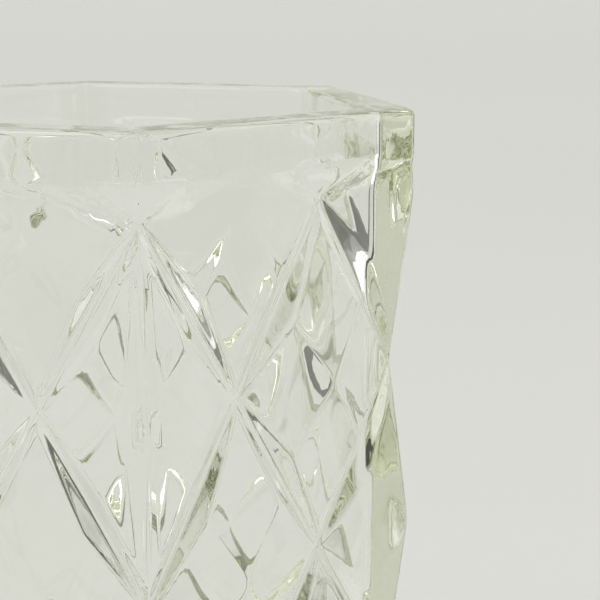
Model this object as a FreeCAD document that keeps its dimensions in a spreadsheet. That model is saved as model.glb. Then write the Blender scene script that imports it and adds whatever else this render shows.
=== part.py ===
import FreeCAD
import Part
import math
import os

# Hexagonal cut crystal vase. Origin: centre of the resting plane, +Z up, +X through one corner.
# A lattice of V-grooves wraps round the six flat sides and crosses at nodes. Each node lies in
# a shallow four-sided dip, so the diamonds between the grooves are faceted and stand proud.
# The cuts run out into a plain band below the rim and above the foot.

doc = FreeCAD.newDocument("crystal_vase")

# ---------------------------------------------------------------- driving dimensions (mm)
DIMENSIONS = [
    ("corner_radius", 60.0, "axis to a corner of the hexagon"),
    ("total_height", 192.0, "resting plane to rim"),
    ("pad_thickness", 1.5, "clear foot pads under the base"),
    ("pad_radius", 4.5, "foot pad radius"),
    ("pad_circle", 44.0, "axis to foot pad centre"),
    ("pad_edge", 0.5, "rounding at the lower edge of a pad"),
    ("wall", 8.0, "wall thickness between flat side and cavity"),
    ("base_thickness", 15.0, "solid glass under the cavity"),
    ("corner_round", 3.0, "rounding of the six upright corners"),
    ("rim_round", 1.3, "fire-polished rounding of the rim"),
    ("foot_round", 1.5, "rounding at the lower edge"),
    ("cavity_corner", 3.5, "rounding of the cavity's upright corners"),
    ("cavity_floor", 3.0, "rounding where cavity wall meets its floor"),
    ("band", 14.5, "rim to the first row of crossings"),
    ("row_pitch", 31.3, "height between rows of crossings"),
    ("node_depth", 3.6, "depth of the faceted dip at a crossing"),
    ("diamond_top", 0.08, "depth of a diamond's top below the flat side"),
    ("node_run_out", 6.0, "height over which a dip fades past the last row"),
    ("groove_half", 4.5, "half width of the V-groove at the flat side"),
    ("groove_depth", 4.1, "depth of the V-groove at its bottom line"),
    ("groove_run_out", 7.0, "height over which a groove fades past the last row"),
    ("clearance", 0.8, "how far cutting tools stand proud of the surface"),
    ("overcut", 0.4, "how far the limiting blocks reach below the deepest cut"),
]

sheet = doc.addObject("Spreadsheet::Sheet", "dims")
for row, (name, value, note) in enumerate(DIMENSIONS, start=1):
    sheet.set("A%d" % row, note)
    sheet.set("B%d" % row, str(value))
    sheet.setAlias("B%d" % row, name)
doc.recompute()


def dim(name):
    return float(sheet.get(name))


def bind(obj, **expressions):
    for prop, expression in expressions.items():
        obj.setExpression(prop, expression)


SIDES = 6
STEPS = 3  # half diamonds across one side
ROWS = 6  # rows of crossings between rim and foot
PADS = 6
NODE_TIP = 0.12  # half width of the tiny flat at the bottom of a dip

corner_radius = dim("corner_radius")
apothem = corner_radius * math.cos(math.pi / SIDES)
side_length = 2.0 * corner_radius * math.sin(math.pi / SIDES)
step = side_length / STEPS
row_pitch = dim("row_pitch")


# ---------------------------------------------------------------- blank with its cavity
def edges_where(feature, test):
    names = []
    for index, edge in enumerate(feature.Shape.Edges, start=1):
        if test(edge):
            names.append("Edge%d" % index)
    return names


def is_upright(edge):
    return abs(edge.tangentAt(edge.FirstParameter).z) > 0.99


def mid_radius(edge):
    middle = edge.valueAt(0.5 * (edge.FirstParameter + edge.LastParameter))
    return math.hypot(middle.x, middle.y)


def lies_at(edge, height):
    box = edge.BoundBox
    return abs(box.ZMin - height) < 0.01 and abs(box.ZMax - height) < 0.01


body = doc.addObject("PartDesign::Body", "blank")
hexagon = body.newObject("PartDesign::AdditivePrism", "outer_hexagon")
hexagon.Polygon = SIDES
bind(
    hexagon,
    Circumradius="dims.corner_radius",
    Height="dims.total_height - dims.pad_thickness",
)
hexagon.Placement.Base = FreeCAD.Vector(0, 0, dim("pad_thickness"))
doc.recompute()


def add_fillet(name, base, test, expression):
    fillet = body.newObject("PartDesign::Fillet", name)
    fillet.Base = (base, edges_where(base, test))
    bind(fillet, Radius=expression)
    doc.recompute()
    return fillet


corners = add_fillet("corner_rounding", hexagon, is_upright, "dims.corner_round")

cavity = body.newObject("PartDesign::SubtractivePrism", "cavity")
cavity.Polygon = SIDES
bind(
    cavity,
    Circumradius="dims.corner_radius - dims.wall / cos(30 deg)",
    Height="dims.total_height - dims.pad_thickness - dims.base_thickness + 5",
)
cavity_floor_z = dim("pad_thickness") + dim("base_thickness")
cavity.Placement.Base = FreeCAD.Vector(0, 0, cavity_floor_z)
doc.recompute()

rim_z = dim("total_height")
foot_z = dim("pad_thickness")
cavity_radius = corner_radius - dim("wall") / math.cos(math.pi / SIDES)

cavity_corners = add_fillet(
    "cavity_corner_rounding",
    cavity,
    lambda edge: is_upright(edge) and mid_radius(edge) < cavity_radius + 0.1,
    "dims.cavity_corner",
)
cavity_floor = add_fillet(
    "cavity_floor_rounding",
    cavity_corners,
    lambda edge: lies_at(edge, cavity_floor_z),
    "dims.cavity_floor",
)
rim = add_fillet(
    "rim_rounding",
    cavity_floor,
    lambda edge: lies_at(edge, rim_z),
    "dims.rim_round",
)
foot = add_fillet(
    "foot_rounding",
    rim,
    lambda edge: lies_at(edge, foot_z),
    "dims.foot_round",
)
body.Tip = foot
doc.recompute()


# ---------------------------------------------------------------- cutting tools for one side
def side_axes(side):
    angle = math.radians(60.0 * side + 30.0)
    normal = FreeCAD.Vector(math.cos(angle), math.sin(angle), 0)
    along = FreeCAD.Vector(-math.sin(angle), math.cos(angle), 0)
    return normal, along


def row_height(row):
    return rim_z - dim("band") - (row - 1) * row_pitch


def v_cutter(name, side, row_at_left, rising, half_width, depth):
    """Triangular prism along one lattice line; row_at_left is the row where it meets u = 0."""
    normal, along = side_axes(side)
    upright = FreeCAD.Vector(0, 0, 1)
    direction = along * (step * rising) + upright * row_pitch
    direction.normalize()
    across = (normal * -1.0).cross(direction)
    middle_u = 0.5 * side_length
    middle_row = row_at_left - rising * STEPS * 0.5
    point = normal * apothem + along * (middle_u - 0.5 * side_length)
    point = point + upright * row_height(middle_row)
    tool = doc.addObject("Part::Wedge", name)
    bind(
        tool,
        Xmin="-(%s) * (1 + dims.clearance / (%s))" % (half_width, depth),
        Xmax="(%s) * (1 + dims.clearance / (%s))" % (half_width, depth),
        Ymin="-dims.clearance",
        Ymax=depth,
        Zmin="-1.1 * dims.row_pitch * %d" % STEPS,
        Zmax="1.1 * dims.row_pitch * %d" % STEPS,
        Z2min="-1.1 * dims.row_pitch * %d" % STEPS,
        Z2max="1.1 * dims.row_pitch * %d" % STEPS,
    )
    tool.X2min = 0.0
    tool.X2max = 0.0
    rotation = FreeCAD.Rotation(across, normal * -1.0, direction, "ZYX")
    tool.Placement = FreeCAD.Placement(point, rotation)
    return tool


def node_cutter(name, side, column, row):
    """Upside-down pyramid whose tip is at one crossing and whose sides reach its neighbours."""
    normal, along = side_axes(side)
    upright = FreeCAD.Vector(0, 0, 1)
    point = normal * apothem + along * ((column - 0.5 * STEPS) * step) + upright * row_height(row)
    tool = doc.addObject("Part::Wedge", name)
    spread = "(dims.node_depth + dims.clearance) / (dims.node_depth - dims.diamond_top)"
    bind(
        tool,
        Xmin="-dims.corner_radius / %d * %s" % (STEPS, spread),
        Xmax="dims.corner_radius / %d * %s" % (STEPS, spread),
        Ymin="-dims.clearance",
        Ymax="dims.node_depth",
        Zmin="-dims.row_pitch * %s" % spread,
        Zmax="dims.row_pitch * %s" % spread,
    )
    tool.X2min = -NODE_TIP
    tool.X2max = NODE_TIP
    tool.Z2min = -NODE_TIP
    tool.Z2max = NODE_TIP
    across = (normal * -1.0).cross(upright)
    rotation = FreeCAD.Rotation(across, normal * -1.0, upright, "ZYX")
    tool.Placement = FreeCAD.Placement(point, rotation)
    return tool


def side_limits(name, side, depth, run_out):
    """Block of one side: slanted at its ends for the run-out, mitred at the corners."""
    normal, along = side_axes(side)
    top = row_height(1)
    bottom = row_height(ROWS)
    middle = 0.5 * (top + bottom)
    rows = 0.5 * (ROWS - 1)
    block = doc.addObject("Part::Wedge", name)
    outer = "%.3f * dims.row_pitch + %s * (%s + dims.clearance) / %s" % (rows, run_out, depth, depth)
    deep = "%.3f * dims.row_pitch - %s * dims.overcut / %s" % (rows, run_out, depth)
    tangent = "tan(30 deg)"
    face_distance = "dims.corner_radius * cos(30 deg)"
    bind(
        block,
        Xmin="-(%s + dims.clearance) * %s" % (face_distance, tangent),
        Xmax="(%s + dims.clearance) * %s" % (face_distance, tangent),
        Ymin="-dims.clearance",
        Ymax="%s + dims.overcut" % depth,
        Zmin="-(%s)" % outer,
        Zmax=outer,
        X2min="-(%s - %s - dims.overcut) * %s" % (face_distance, depth, tangent),
        X2max="(%s - %s - dims.overcut) * %s" % (face_distance, depth, tangent),
        Z2min="-(%s)" % deep,
        Z2max=deep,
    )
    upright = FreeCAD.Vector(0, 0, 1)
    across = (normal * -1.0).cross(upright)
    rotation = FreeCAD.Rotation(across, normal * -1.0, upright, "ZYX")
    block.Placement = FreeCAD.Placement(normal * apothem + upright * middle, rotation)
    return block


side_tools = []
for side in range(SIDES):
    parity = side % 2
    dips = []
    for column in range(-1, STEPS + 2):
        for row in range(1, ROWS + 1):
            if (column + row) % 2 == parity:
                dips.append(node_cutter("dip_%d_%d_%d" % (side, column + 1, row), side, column, row))
    grooves = []
    for rising in (1, -1):
        low = 0 if rising == 1 else -STEPS
        high = ROWS + STEPS + 1 if rising == 1 else ROWS + 1
        for row_at_left in range(low, high):
            if row_at_left % 2 != parity:
                continue
            row_at_right = row_at_left - rising * STEPS
            if max(row_at_left, row_at_right) < 1 or min(row_at_left, row_at_right) > ROWS:
                continue
            slant = "up" if rising == 1 else "down"
            name = "groove_%d_%s_%d" % (side, slant, row_at_left + STEPS)
            place = (side, row_at_left, rising)
            grooves.append(v_cutter(name, *place, "dims.groove_half", "dims.groove_depth"))
    for kind, tools, depth, run_out in (
        ("dips", dips, "dims.node_depth", "dims.node_run_out"),
        ("grooves", grooves, "dims.groove_depth", "dims.groove_run_out"),
    ):
        fused = doc.addObject("Part::MultiFuse", "%s_%d" % (kind, side))
        fused.Shapes = tools
        limited = doc.addObject("Part::Common", "%s_cut_%d" % (kind, side))
        limited.Base = fused
        limited.Tool = side_limits("%s_limits_%d" % (kind, side), side, depth, run_out)
        side_tools.append(limited)
doc.recompute()

# ---------------------------------------------------------------- the glass
current = body
for index, tool in enumerate(side_tools):
    cut = doc.addObject("Part::Cut", "glass_cut_%d" % index)
    cut.Base = current
    cut.Tool = tool
    current = cut
current.Label = "vase_glass"
doc.recompute()

nodes = [current]

# ---------------------------------------------------------------- clear foot pads
for index in range(PADS):
    angle = math.radians(60.0 * index)
    place = FreeCAD.Vector(
        dim("pad_circle") * math.cos(angle),
        dim("pad_circle") * math.sin(angle),
        0,
    )
    disc = doc.addObject("Part::Cone", "pad_%d" % (index + 1))
    bind(
        disc,
        Radius1="dims.pad_radius - dims.pad_edge",
        Radius2="dims.pad_radius",
        Height="dims.pad_thickness",
    )
    disc.Placement.Base = place
    disc.Label = "foot_pad_%d" % (index + 1)
    nodes.append(disc)
doc.recompute()

# ---------------------------------------------------------------- checks and export
for obj in doc.Objects:
    state = obj.State
    if "Invalid" in state or "Error" in state:
        raise RuntimeError("%s is in state %s" % (obj.Name, state))
    if hasattr(obj, "Shape") and obj.isDerivedFrom("Part::Feature"):
        if obj.Shape.isNull() or not obj.Shape.isValid():
            raise RuntimeError("%s has no valid shape" % obj.Name)

os.makedirs("parts", exist_ok=True)
for node in nodes:
    node.Shape.exportStep("parts/%s.step" % node.Label)
    box = node.Shape.BoundBox
    print(
        node.Label,
        len(node.Shape.Solids),
        "solid(s)",
        round(node.Shape.Volume / 1000.0, 2),
        "cm3",
        [round(v, 2) for v in (box.XMin, box.XMax, box.YMin, box.YMax, box.ZMin, box.ZMax)],
    )
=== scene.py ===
import bpy
import bmesh
import math
import numpy as np
from mathutils import Matrix, Vector


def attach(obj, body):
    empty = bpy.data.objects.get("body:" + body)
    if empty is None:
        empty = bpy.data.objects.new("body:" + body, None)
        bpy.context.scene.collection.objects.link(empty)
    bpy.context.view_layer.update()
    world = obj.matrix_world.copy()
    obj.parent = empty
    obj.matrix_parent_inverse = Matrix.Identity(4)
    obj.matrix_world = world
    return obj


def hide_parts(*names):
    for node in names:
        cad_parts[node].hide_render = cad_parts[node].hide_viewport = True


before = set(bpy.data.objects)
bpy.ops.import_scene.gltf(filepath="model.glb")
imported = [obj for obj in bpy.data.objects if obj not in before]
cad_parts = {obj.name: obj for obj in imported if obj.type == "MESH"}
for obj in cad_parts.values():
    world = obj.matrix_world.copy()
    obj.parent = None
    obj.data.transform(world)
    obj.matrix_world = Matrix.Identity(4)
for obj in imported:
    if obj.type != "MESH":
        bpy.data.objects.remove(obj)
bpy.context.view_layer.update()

# ------------------------------------------------------------------ the vase's dimensions (mm)
MM = 0.001  # in metres, the unit of the scene
CORNER_R = 60.0
SIDES = 6
SIDE_ANGLE = math.pi / 3
HALF_SIDE_ANGLE = math.pi / 6
APOTHEM = CORNER_R * math.cos(math.pi / SIDES)
HEIGHT = 192.0
FOOT_Z = 1.5
PAD_GAP = 0.02  # between the glass and its pads, so that two surfaces don't coincide
WALL = 8.0
CAVITY_APOTHEM = APOTHEM - WALL
CAVITY_CORNER = 3.5
CAVITY_FLOOR_Z = 16.5
CAVITY_FLOOR_ROUND = 3.0
CORNER_ROUND = 3.0
RIM_ROUND = 1.3
FOOT_ROUND = 1.5
BAND = 14.5
ROW_PITCH = 31.3
ROWS = 6
STEPS = 3  # half diamonds to one side
STEP = CORNER_R / STEPS
AROUND = SIDES * STEPS
FLANK_REACH = STEP * ROW_PITCH / math.hypot(STEP, ROW_PITCH)
NODE_DEPTH = 3.6
NODE_RUN_OUT = 6.0
CREASE = 0.03
GROOVE_DEPTH = 4.1
GROOVE_HALF = 4.5
GROOVE_RUN_OUT = 7.0

# polished softness of the creases (mm)
GROOVE_BOTTOM_ROUND = 0.6
GROOVE_BOTTOM_LIFT = 0.2
RUN_OUT_SOFT = 0.3
CUT_MEET_SOFT = 0.25
EDGE_SOFT = 0.2
EDGE_SOFT_GAIN = 0.7
EDGE_SOFT_REACH = 4.0
CORNER_SOFT_SHARE = 0.6
CORNER_TRIM_SHARE = 0.55


# ------------------------------------------------------------------ the cut surface
def smooth_max(a, b, k):
    return 0.5 * (a + b + np.sqrt((a - b) ** 2 + k * k))


def smooth_min(a, b, k):
    return 0.5 * (a + b - np.sqrt((a - b) ** 2 + k * k))


def fold(value):
    """Distance to the nearest even number, 0 to 1."""
    return np.abs((value + 1.0) % 2.0 - 1.0)


def cut_depth(j, row):
    """Depth below the flat side at lattice coordinates j (half diamonds) and row."""
    rising = fold(j + row)
    falling = fold(row - j)
    # 0 at a diamond's centre, 1 at a crossing; the creases run from centre to mid edge
    from_centre = 0.5 * (
        np.sqrt((1.0 - rising) ** 2 + CREASE ** 2)
        + np.sqrt((1.0 - falling) ** 2 + CREASE ** 2)
    )
    dip = NODE_DEPTH * (from_centre - CREASE)
    nearest = np.minimum(rising, falling) * FLANK_REACH
    round_v = np.sqrt(nearest ** 2 + GROOVE_BOTTOM_ROUND ** 2) - GROOVE_BOTTOM_LIFT
    groove = GROOVE_DEPTH * (1.0 - round_v / GROOVE_HALF)
    past = np.maximum((1.0 - row), (row - ROWS)) * ROW_PITCH
    dip_limit = NODE_DEPTH * (1.0 - past / NODE_RUN_OUT)
    groove_limit = GROOVE_DEPTH * (1.0 - past / GROOVE_RUN_OUT)
    dip = smooth_min(dip, dip_limit, RUN_OUT_SOFT)
    groove = smooth_min(groove, groove_limit, RUN_OUT_SOFT)
    depth = smooth_max(dip, groove, CUT_MEET_SOFT)
    fade = EDGE_SOFT + EDGE_SOFT_GAIN * np.clip(past / EDGE_SOFT_REACH, 0.0, 1.0)
    return np.maximum(smooth_max(depth, 0.0, fade) - 0.5 * fade, 0.0)


def row_z(row):
    """Height of a row of crossings; row 1 is the top one."""
    return HEIGHT - BAND - (row - 1.0) * ROW_PITCH


def z_row(z):
    return (HEIGHT - BAND - z) / ROW_PITCH + 1.0


def outer_point(j, z):
    """Point on the outside at lattice column j and height z, in mm."""
    j = np.asarray(j, dtype=float)
    z = np.asarray(z, dtype=float)
    side = np.floor(j / STEPS + COLUMN_TOLERANCE)
    u = (j / STEPS - side - 0.5) * 2.0 * CORNER_R * math.sin(math.pi / SIDES)
    angle = SIDE_ANGLE * side + HALF_SIDE_ANGLE
    scale = (APOTHEM - cut_depth(j, z_row(z))) / APOTHEM
    # a rounded corner: the two sides meet in a small arc
    to_corner = 0.5 * CORNER_R - np.abs(u)
    soft = CORNER_ROUND * CORNER_SOFT_SHARE
    trim = 0.5 * (np.sqrt(to_corner ** 2 + soft ** 2) - to_corner) * CORNER_TRIM_SHARE
    normal_offset = APOTHEM * scale - trim
    along = u * scale * (1.0 - trim / APOTHEM)
    x = normal_offset * np.cos(angle) - along * np.sin(angle)
    y = normal_offset * np.sin(angle) + along * np.cos(angle)
    return x, y, z


def rounded_hexagon(theta, apothem, corner):
    """Radius at angle theta of a hexagon with rounded corners."""
    corner_angle = np.round(theta / SIDE_ANGLE) * SIDE_ANGLE
    alpha = np.abs(theta - corner_angle)
    centre = (apothem - corner) / math.cos(HALF_SIDE_ANGLE)
    tangent = math.atan2(corner * 0.5, centre + corner * math.cos(HALF_SIDE_ANGLE))
    arc = centre * np.cos(alpha) + np.sqrt(
        np.maximum(corner ** 2 - (centre * np.sin(alpha)) ** 2, 0.0)
    )
    flat = apothem / np.cos(HALF_SIDE_ANGLE - alpha)
    return np.where(alpha < tangent, arc, flat)


# ------------------------------------------------------------------ lattice-aligned mesh
# distances from a groove's bottom to the mesh lines beside it, up to the next diamond's centre
OFFSETS_MM = [
    0.0, 0.35, 0.8, 1.4, 1.95, 2.4, 2.8, 3.25,
    4.1, 5.8, 8.2, 10.8, 13.2, 15.1, 16.2, FLANK_REACH,
]
HALF = [value / FLANK_REACH for value in OFFSETS_MM]
PERIOD = HALF[:-1] + [2.0 - value for value in reversed(HALF[1:])]
COUNT = len(PERIOD)
# extra mesh lines beside the upright corners, and past the first and last row
CORNER_OFFSETS_MM = [-3.2, -1.7, -0.8, 0.0, 0.8, 1.7, 3.2]
RUN_OUT_LEVELS_MM = [0.0, 1.2, 2.4, 3.6, 4.7, 5.6, 6.4, 7.2, 8.2]
SHEET_ROW_MARGIN = 0.15
SHEET_COLUMN_MARGIN = 0.3
SPARE_COLUMNS = 10
CUT_REACH = 3.0
CUT_TOLERANCE = 1e-4
SEAM_TOLERANCE = 2e-6  # m
RING_TOLERANCE = 2e-5  # m
COLUMN_TOLERANCE = 1e-9

WALL_RINGS = 20
WAVE_HEIGHT = 0.12
WAVE_FADE = 12.0
QUARTER_TURNS = (15, 30, 45, 60, 75, 90)  # degrees round each rounded edge
RIM_SHARES = (0.25, 0.5, 0.75, 1.0)
DISC_SHARES = (0.8, 0.6, 0.4, 0.2)


def lattice_value(index):
    """Position of a mesh line across the lattice; grooves run at even numbers."""
    turn, rest = divmod(index, COUNT)
    return 2.0 * turn + PERIOD[rest]


def bisect(sheet, parts, axis, level, sign, clear_outer):
    """Cut parts of the sheet across one axis; clear_outer drops what is on the sign's side."""
    normal = [0.0, 0.0, 0.0]
    normal[axis] = sign
    place = [0.0, 0.0, 0.0]
    place[axis] = level
    bmesh.ops.bisect_plane(
        sheet,
        geom=parts,
        dist=CUT_TOLERANCE,
        plane_co=place,
        plane_no=normal,
        clear_outer=clear_outer,
    )


def cut_sheet(sheet, axis, level, reach):
    """Split the flat sheet's faces along one straight line at the given level."""
    near = [
        face for face in sheet.faces
        if abs(face.calc_center_median()[axis] - level) < reach
    ]
    edges = {edge for face in near for edge in face.edges}
    points = {point for face in near for point in face.verts}
    bisect(sheet, list(points) + list(edges) + near, axis, level, 1.0, False)


def flat_sheet(low, high):
    """The outside unrolled flat: x is the lattice column in mm, y the height in mm."""
    row_low = z_row(high) - SHEET_ROW_MARGIN
    row_high = z_row(low) + SHEET_ROW_MARGIN
    sheet = bmesh.new()
    points = {}

    def point(i, k):
        if (i, k) not in points:
            p = lattice_value(i)
            q = lattice_value(k)
            place = (0.5 * (p - q) * STEP, row_z(0.5 * (p + q)), 0.0)
            points[i, k] = sheet.verts.new(place)
        return points[i, k]

    for i in range(-2 * COUNT, (AROUND + SPARE_COLUMNS) // 2 * COUNT):
        p0, p1 = lattice_value(i), lattice_value(i + 1)
        k_low = int((2 * row_low - p1) / 2.0 * COUNT) - 2 * COUNT
        k_high = int((2 * row_high - p0) / 2.0 * COUNT) + 2 * COUNT
        for k in range(k_low, k_high):
            q0, q1 = lattice_value(k), lattice_value(k + 1)
            if p1 + q1 < 2 * row_low or p0 + q0 > 2 * row_high:
                continue
            column = 0.25 * (p0 + p1 - q0 - q1)
            if not -SHEET_COLUMN_MARGIN <= column <= AROUND + SHEET_COLUMN_MARGIN:
                continue
            a, b = point(i, k), point(i + 1, k)
            c, d = point(i + 1, k + 1), point(i, k + 1)
            along, across = i % COUNT, k % COUNT
            if along == across:
                sheet.faces.new((a, c, b))
                sheet.faces.new((a, d, c))
            elif along + across == COUNT - 1:
                sheet.faces.new((a, d, b))
                sheet.faces.new((b, d, c))
            else:
                sheet.faces.new((a, d, c, b))
    borders = ((0, 0.0, -1.0), (0, AROUND * STEP, 1.0), (1, low, -1.0), (1, high, 1.0))
    for axis, level, sign in borders:
        parts = sheet.verts[:] + sheet.edges[:] + sheet.faces[:]
        bisect(sheet, parts, axis, level, sign, True)
    for corner in range(SIDES + 1):
        for offset in CORNER_OFFSETS_MM:
            level = corner * STEPS * STEP + offset
            if 0.0 < level < AROUND * STEP:
                cut_sheet(sheet, 0, level, CUT_REACH)
    for rise in RUN_OUT_LEVELS_MM:
        cut_sheet(sheet, 1, row_z(1) + rise, CUT_REACH)
        cut_sheet(sheet, 1, row_z(ROWS) - rise, CUT_REACH)
    return sheet


def build_glass(top_z, low_z):
    """The outside of the glass, open at the rim and at the foot."""
    mesh = flat_sheet(low_z, top_z)
    columns = np.array([v.co.x / STEP for v in mesh.verts])
    heights = np.array([v.co.y for v in mesh.verts])
    x, y, z = outer_point(np.clip(columns, 0.0, AROUND - COLUMN_TOLERANCE), heights)
    for v, px, py, pz in zip(mesh.verts, x, y, z):
        v.co = (px * MM, py * MM, pz * MM)
    border = [v for v in mesh.verts if v.is_boundary]
    bmesh.ops.remove_doubles(mesh, verts=border, dist=SEAM_TOLERANCE)
    many = [face for face in mesh.faces if len(face.verts) > 4]
    bmesh.ops.triangulate(mesh, faces=many)
    return mesh


def inner_waviness(theta, z):
    """Slight waves that are left on the inner wall when the glass cools, in mm."""
    return WAVE_HEIGHT * (
        np.sin(5.0 * theta + z / 9.0)
        + np.sin(7.0 * theta - z / 6.5 + 1.3)
        + 0.6 * np.sin(11.0 * theta + z / 12.0 + 0.4)
    )


def boundary_ring(mesh, height):
    """The open edge's points at a height, sorted by angle about the axis."""
    ring = [
        v for v in mesh.verts
        if v.is_boundary and abs(v.co.z - height * MM) < RING_TOLERANCE
    ]
    ring.sort(key=lambda v: math.atan2(v.co.y, v.co.x))
    return ring


def add_ring(mesh, previous, radii, height):
    """A closed ring of points, one for each point of the previous ring, joined to it."""
    ring = []
    for v, radius in zip(previous, radii):
        angle = math.atan2(v.co.y, v.co.x)
        place = (radius * math.cos(angle) * MM, radius * math.sin(angle) * MM, height * MM)
        ring.append(mesh.verts.new(place))
    count = len(ring)
    for n in range(count):
        after = (n + 1) % count
        mesh.faces.new((previous[n], previous[after], ring[after], ring[n]))
    return ring


def close_ring(mesh, ring, height):
    """Fill a ring with triangles that meet on the axis."""
    centre = mesh.verts.new((0, 0, height * MM))
    for n in range(len(ring)):
        mesh.faces.new((ring[n], ring[(n + 1) % len(ring)], centre))


def radii_of(ring):
    return np.array([math.hypot(v.co.x, v.co.y) / MM for v in ring])


def angles_of(ring):
    return np.array([math.atan2(v.co.y, v.co.x) for v in ring])


def side_cosine(theta):
    """Turns an inset across a flat side into one along the radius at angle theta."""
    return np.cos(theta - (np.floor(theta / SIDE_ANGLE) + 0.5) * SIDE_ANGLE)


def turn_rise(degrees):
    """Height along a rounded edge of radius 1, after turning this far."""
    return math.sin(math.radians(degrees))


def turn_inset(degrees):
    """Inset along a rounded edge of radius 1, after turning this far."""
    return 1.0 - math.cos(math.radians(degrees))


top_z = HEIGHT - RIM_ROUND
low_z = FOOT_Z + PAD_GAP + FOOT_ROUND
mesh = build_glass(top_z, low_z)

# rim: outer rounding, flat top, inner rounding, then the cavity wall and floor
ring = boundary_ring(mesh, top_z)
base_radii = radii_of(ring)
theta = angles_of(ring)
toward = side_cosine(theta)
for turn in QUARTER_TURNS:
    radii = base_radii - RIM_ROUND * turn_inset(turn) / toward
    ring = add_ring(mesh, ring, radii, top_z + RIM_ROUND * turn_rise(turn))
inner_wall = rounded_hexagon(theta, CAVITY_APOTHEM, CAVITY_CORNER)
outer_edge = base_radii - RIM_ROUND / toward
inner_edge = rounded_hexagon(theta, CAVITY_APOTHEM + RIM_ROUND, CAVITY_CORNER + RIM_ROUND)
for share in RIM_SHARES:
    ring = add_ring(mesh, ring, outer_edge + (inner_edge - outer_edge) * share, HEIGHT)
for turn in QUARTER_TURNS:
    grow = RIM_ROUND * (1.0 - turn_rise(turn))
    radii = rounded_hexagon(theta, CAVITY_APOTHEM + grow, CAVITY_CORNER + grow)
    ring = add_ring(mesh, ring, radii, HEIGHT - RIM_ROUND * turn_inset(turn))
wall_low = CAVITY_FLOOR_Z + CAVITY_FLOOR_ROUND
for n in range(1, WALL_RINGS + 1):
    z = top_z + (wall_low - top_z) * n / WALL_RINGS
    fade = min(1.0, (top_z - z) / WAVE_FADE, (z - wall_low) / WAVE_FADE)
    ring = add_ring(mesh, ring, inner_wall + fade * inner_waviness(theta, z), z)
for turn in QUARTER_TURNS:
    shrink = CAVITY_FLOOR_ROUND * turn_inset(turn)
    radii = rounded_hexagon(theta, CAVITY_APOTHEM - shrink, CAVITY_CORNER - shrink)
    drop = CAVITY_FLOOR_ROUND * (1.0 - turn_rise(turn))
    ring = add_ring(mesh, ring, radii, CAVITY_FLOOR_Z + drop)
floor_radii = radii_of(ring)
for share in DISC_SHARES:
    ring = add_ring(mesh, ring, floor_radii * share, CAVITY_FLOOR_Z)
close_ring(mesh, ring, CAVITY_FLOOR_Z)

# foot: rounding, then the flat underside
ring = boundary_ring(mesh, low_z)
base_radii = radii_of(ring)
theta = angles_of(ring)
toward = side_cosine(theta)
for turn in QUARTER_TURNS:
    radii = base_radii - FOOT_ROUND * turn_inset(turn) / toward
    ring = add_ring(mesh, ring, radii, low_z - FOOT_ROUND * turn_rise(turn))
foot_radii = radii_of(ring)
for share in DISC_SHARES:
    ring = add_ring(mesh, ring, foot_radii * share, FOOT_Z + PAD_GAP)
close_ring(mesh, ring, FOOT_Z + PAD_GAP)

bmesh.ops.recalc_face_normals(mesh, faces=mesh.faces[:])
for face in mesh.faces:
    face.smooth = True
open_edges = [edge for edge in mesh.edges if not edge.is_manifold]
print("glass faces", len(mesh.faces), "open or shared edges", len(open_edges))
data = bpy.data.meshes.new("vase_crystal")
mesh.to_mesh(data)
mesh.free()
glass = bpy.data.objects.new("vase_crystal", data)
bpy.context.scene.collection.objects.link(glass)
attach(glass, "root")
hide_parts("vase_glass")


# ------------------------------------------------------------------ materials
def new_material(name):
    material = bpy.data.materials.new(name)
    material.use_nodes = True
    nodes = material.node_tree.nodes
    return material, nodes, material.node_tree.links, nodes["Principled BSDF"]


crystal, nodes, links, shader = new_material("crystal_glass")
shader.inputs["Base Color"].default_value = (1.0, 1.0, 1.0, 1.0)
shader.inputs["Transmission Weight"].default_value = 1.0
shader.inputs["IOR"].default_value = 1.53
coords = nodes.new("ShaderNodeTexCoord")
handling = nodes.new("ShaderNodeTexNoise")
handling.inputs["Scale"].default_value = 60.0
handling.inputs["Detail"].default_value = 4.0
links.new(coords.outputs["Object"], handling.inputs["Vector"])
rough = nodes.new("ShaderNodeMapRange")
rough.inputs["From Min"].default_value = 0.45
rough.inputs["From Max"].default_value = 0.75
rough.inputs["To Min"].default_value = 0.0
rough.inputs["To Max"].default_value = 0.03
links.new(handling.outputs["Fac"], rough.inputs["Value"])
links.new(rough.outputs["Result"], shader.inputs["Roughness"])
ripple = nodes.new("ShaderNodeTexNoise")
ripple.inputs["Scale"].default_value = 35.0
ripple.inputs["Detail"].default_value = 2.0
links.new(coords.outputs["Object"], ripple.inputs["Vector"])
bump = nodes.new("ShaderNodeBump")
bump.inputs["Strength"].default_value = 0.25
bump.inputs["Distance"].default_value = 0.0004
links.new(ripple.outputs["Fac"], bump.inputs["Height"])
links.new(bump.outputs["Normal"], shader.inputs["Normal"])
absorb = nodes.new("ShaderNodeVolumeAbsorption")
absorb.inputs["Color"].default_value = (0.83, 0.85, 0.72, 1.0)
absorb.inputs["Density"].default_value = 21.0
links.new(absorb.outputs["Volume"], nodes["Material Output"].inputs["Volume"])
glass.data.materials.append(crystal)

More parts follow.
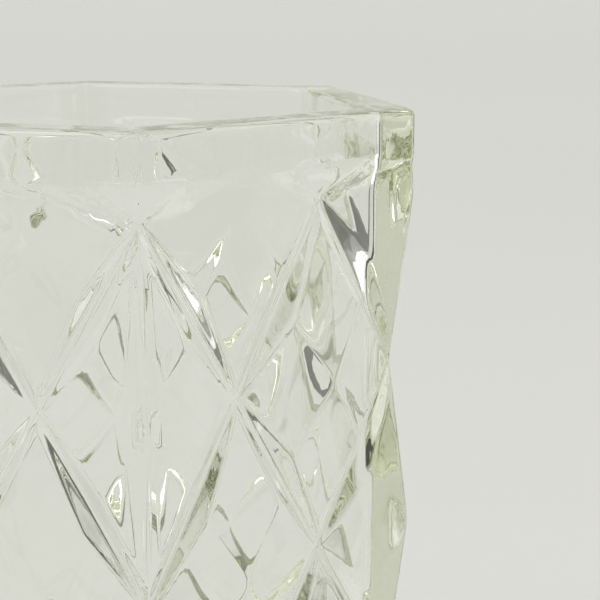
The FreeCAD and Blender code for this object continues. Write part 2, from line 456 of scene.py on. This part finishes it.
pad_material, nodes, links, shader = new_material("clear_pad")
shader.inputs["Base Color"].default_value = (0.78, 0.79, 0.77, 1.0)
shader.inputs["Transmission Weight"].default_value = 0.25
shader.inputs["IOR"].default_value = 1.48
coords = nodes.new("ShaderNodeTexCoord")
grain = nodes.new("ShaderNodeTexNoise")
grain.inputs["Scale"].default_value = 900.0
links.new(coords.outputs["Object"], grain.inputs["Vector"])
rough = nodes.new("ShaderNodeMapRange")
rough.inputs["To Min"].default_value = 0.12
rough.inputs["To Max"].default_value = 0.3
links.new(grain.outputs["Fac"], rough.inputs["Value"])
links.new(rough.outputs["Result"], shader.inputs["Roughness"])
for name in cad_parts:
    if name.startswith("foot_pad"):
        pad = bpy.data.objects[name]
        pad.data.materials.clear()
        pad.data.materials.append(pad_material)

# ------------------------------------------------------------------ floor and backdrop (m)
FLOOR_FRONT = -4.0
FLOOR_BACK = 4.0
SWEEP_R = 2.5
SWEEP_STEPS = 16
WALL_TOP = 5.0
HALF_WIDTH = 4.0
VIEW_TURN = math.radians(17.25)  # the camera's turn about the vase's axis


def build_stage(name, direction):
    """Pale table top that turns up into a backdrop behind the vase."""
    profile = [(FLOOR_FRONT, 0.0), (FLOOR_BACK, 0.0)]
    for n in range(1, SWEEP_STEPS + 1):
        turn = math.radians(90.0 * n / SWEEP_STEPS)
        forward = FLOOR_BACK + SWEEP_R * math.sin(turn)
        profile.append((forward, SWEEP_R * (1 - math.cos(turn))))
    profile.append((FLOOR_BACK + SWEEP_R, WALL_TOP))
    data = bpy.data.meshes.new(name)
    points = []
    for side in (-HALF_WIDTH, HALF_WIDTH):
        for forward, up in profile:
            points.append((side, forward, up))
    count = len(profile)
    quads = [(n, n + 1, count + n + 1, count + n) for n in range(count - 1)]
    data.from_pydata(points, [], quads)
    data.polygons.foreach_set("use_smooth", [True] * len(quads))
    obj = bpy.data.objects.new(name, data)
    obj.rotation_euler = (0, 0, direction)
    bpy.context.scene.collection.objects.link(obj)
    return obj


stage = build_stage("stage", VIEW_TURN)
backdrop, nodes, links, shader = new_material("stage_paper")
shader.inputs["Roughness"].default_value = 0.9
# painted light: the paper's colour changes with distance behind the vase. It is even up to
# 0.25 m, has a slightly darker band of painted shade at 0.28 m, then grows lighter up to 2 m
# back, in place of the way the light falls on the floor
coords = nodes.new("ShaderNodeTexCoord")
depth_axis = nodes.new("ShaderNodeSeparateXYZ")
links.new(coords.outputs["Object"], depth_axis.inputs["Vector"])
painted_light_depth = nodes.new("ShaderNodeMapRange")
painted_light_depth.inputs["From Min"].default_value = 0.0
painted_light_depth.inputs["From Max"].default_value = 2.0
links.new(depth_axis.outputs["Y"], painted_light_depth.inputs["Value"])
painted_light_tones = nodes.new("ShaderNodeValToRGB")
painted_light_tones.color_ramp.elements[0].position = 0.125
painted_light_tones.color_ramp.elements[0].color = (0.850, 0.852, 0.832, 1.0)
painted_light_tones.color_ramp.elements[1].position = 1.0
painted_light_tones.color_ramp.elements[1].color = (0.915, 0.918, 0.890, 1.0)
painted_shade_band = painted_light_tones.color_ramp.elements.new(0.139)
painted_shade_band.color = (0.843, 0.845, 0.824, 1.0)
links.new(painted_light_depth.outputs["Result"], painted_light_tones.inputs["Fac"])
links.new(painted_light_tones.outputs["Color"], shader.inputs["Base Color"])
stage.data.materials.append(backdrop)


# ------------------------------------------------------------------ light
def turned(x, y, z):
    """A direction or place given as seen from the camera: x right, y away, z up."""
    return Matrix.Rotation(VIEW_TURN, 4, "Z") @ Vector((x, y, z))


world = bpy.data.worlds.new("studio")
bpy.context.scene.world = world
world.use_nodes = True
tree = world.node_tree
background = tree.nodes["Background"]
background.inputs["Strength"].default_value = 0.94
sky = tree.nodes.new("ShaderNodeTexCoord")
split = tree.nodes.new("ShaderNodeSeparateXYZ")
tree.links.new(sky.outputs["Generated"], split.inputs["Vector"])
ramp = tree.nodes.new("ShaderNodeValToRGB")
ramp.color_ramp.elements[0].position = 0.0
ramp.color_ramp.elements[0].color = (0.955, 0.962, 0.91, 1.0)
ramp.color_ramp.elements[1].position = 0.9
ramp.color_ramp.elements[1].color = (0.71, 0.716, 0.69, 1.0)
tree.links.new(split.outputs["Z"], ramp.inputs["Fac"])
tree.links.new(ramp.outputs["Color"], background.inputs["Color"])


def area_light(name, place, aim, size, size_y, power, colour):
    """A rectangular studio lamp at a place, pointed at another; sizes in m, power in W."""
    light = bpy.data.lights.new(name, "AREA")
    light.shape = "RECTANGLE"
    light.size = size
    light.size_y = size_y
    light.energy = power
    light.color = colour
    obj = bpy.data.objects.new(name, light)
    obj.location = place
    obj.rotation_euler = (Vector(aim) - Vector(place)).to_track_quat("-Z", "Y").to_euler()
    bpy.context.scene.collection.objects.link(obj)


LIGHT_AIM = (0, 0, 0.12)
area_light("key", turned(-0.85, -0.35, 0.85), LIGHT_AIM, 0.6, 0.9, 3.0, (1.0, 0.99, 0.97))
area_light("side", turned(1.0, 0.1, 0.5), LIGHT_AIM, 0.35, 0.8, 1.0, (1.0, 1.0, 1.0))


CARD_LIFT = 0.0006  # of a lying card above the floor


def card(name, corners, tone):
    """Dark panel that paints dark reflections into the glass: it shows only through the glass
    and in its gloss.

    The corners are given as seen from the camera. The panel is hidden from the camera and
    from the diffuse light, and casts no shadow.
    """
    data = bpy.data.meshes.new(name)
    data.from_pydata([turned(*corner) for corner in corners], [], [(0, 1, 2, 3)])
    panel = bpy.data.objects.new(name, data)
    bpy.context.scene.collection.objects.link(panel)
    look, _, _, shader = new_material(name + "_painted_dark_reflection")
    shader.inputs["Base Color"].default_value = tone
    shader.inputs["Roughness"].default_value = 0.95
    data.materials.append(look)
    panel.visible_camera = False
    panel.visible_diffuse = False
    panel.visible_shadow = False


def floor_card(name, x0, x1, y0, y1, tone):
    z = CARD_LIFT
    card(name, [(x0, y0, z), (x1, y0, z), (x1, y1, z), (x0, y1, z)], tone)


def upright_card(name, x0, y0, x1, y1, low, high, tone):
    card(name, [(x0, y0, low), (x1, y1, low), (x1, y1, high), (x0, y0, high)], tone)


# painted dark reflections: dark cards behind the vase, unseen by the camera, that the glass
# shows as dark glints
floor_card("card_back_left", -0.27, -0.125, 0.06, 0.20, (0.02, 0.02, 0.018, 1.0))
upright_card(
    "card_right", 0.22, 0.26, 0.40, 0.30, 0.095, 0.30, (0.03, 0.03, 0.027, 1.0)
)

# ------------------------------------------------------------------ camera
camera_data = bpy.data.cameras.new("camera")
camera = bpy.data.objects.new("camera", camera_data)
bpy.context.scene.collection.objects.link(camera)
SENSOR_MM = 36.0
LENS_TO_SENSOR = 1334.7 / 600.0
PITCH = 0.2274  # below the horizon (radians)
REACH = 0.0598  # the unit of the camera's place (m), about the corner radius
camera_data.sensor_width = SENSOR_MM
camera_data.lens = SENSOR_MM * LENS_TO_SENSOR
camera_data.clip_start = 0.01
camera.location = turned(0.613 * REACH, -4.2332 * REACH, HEIGHT * MM + 0.3342 * REACH)
camera.rotation_euler = (math.pi / 2 - PITCH, 0.0, VIEW_TURN)
bpy.context.scene.camera = camera
bpy.context.scene.view_settings.view_transform = "Standard"
# a ray meets many glass surfaces, and turns black if it runs out of bounces
cycles = bpy.context.scene.cycles
cycles.max_bounces = 32
cycles.transmission_bounces = 28
cycles.glossy_bounces = 28
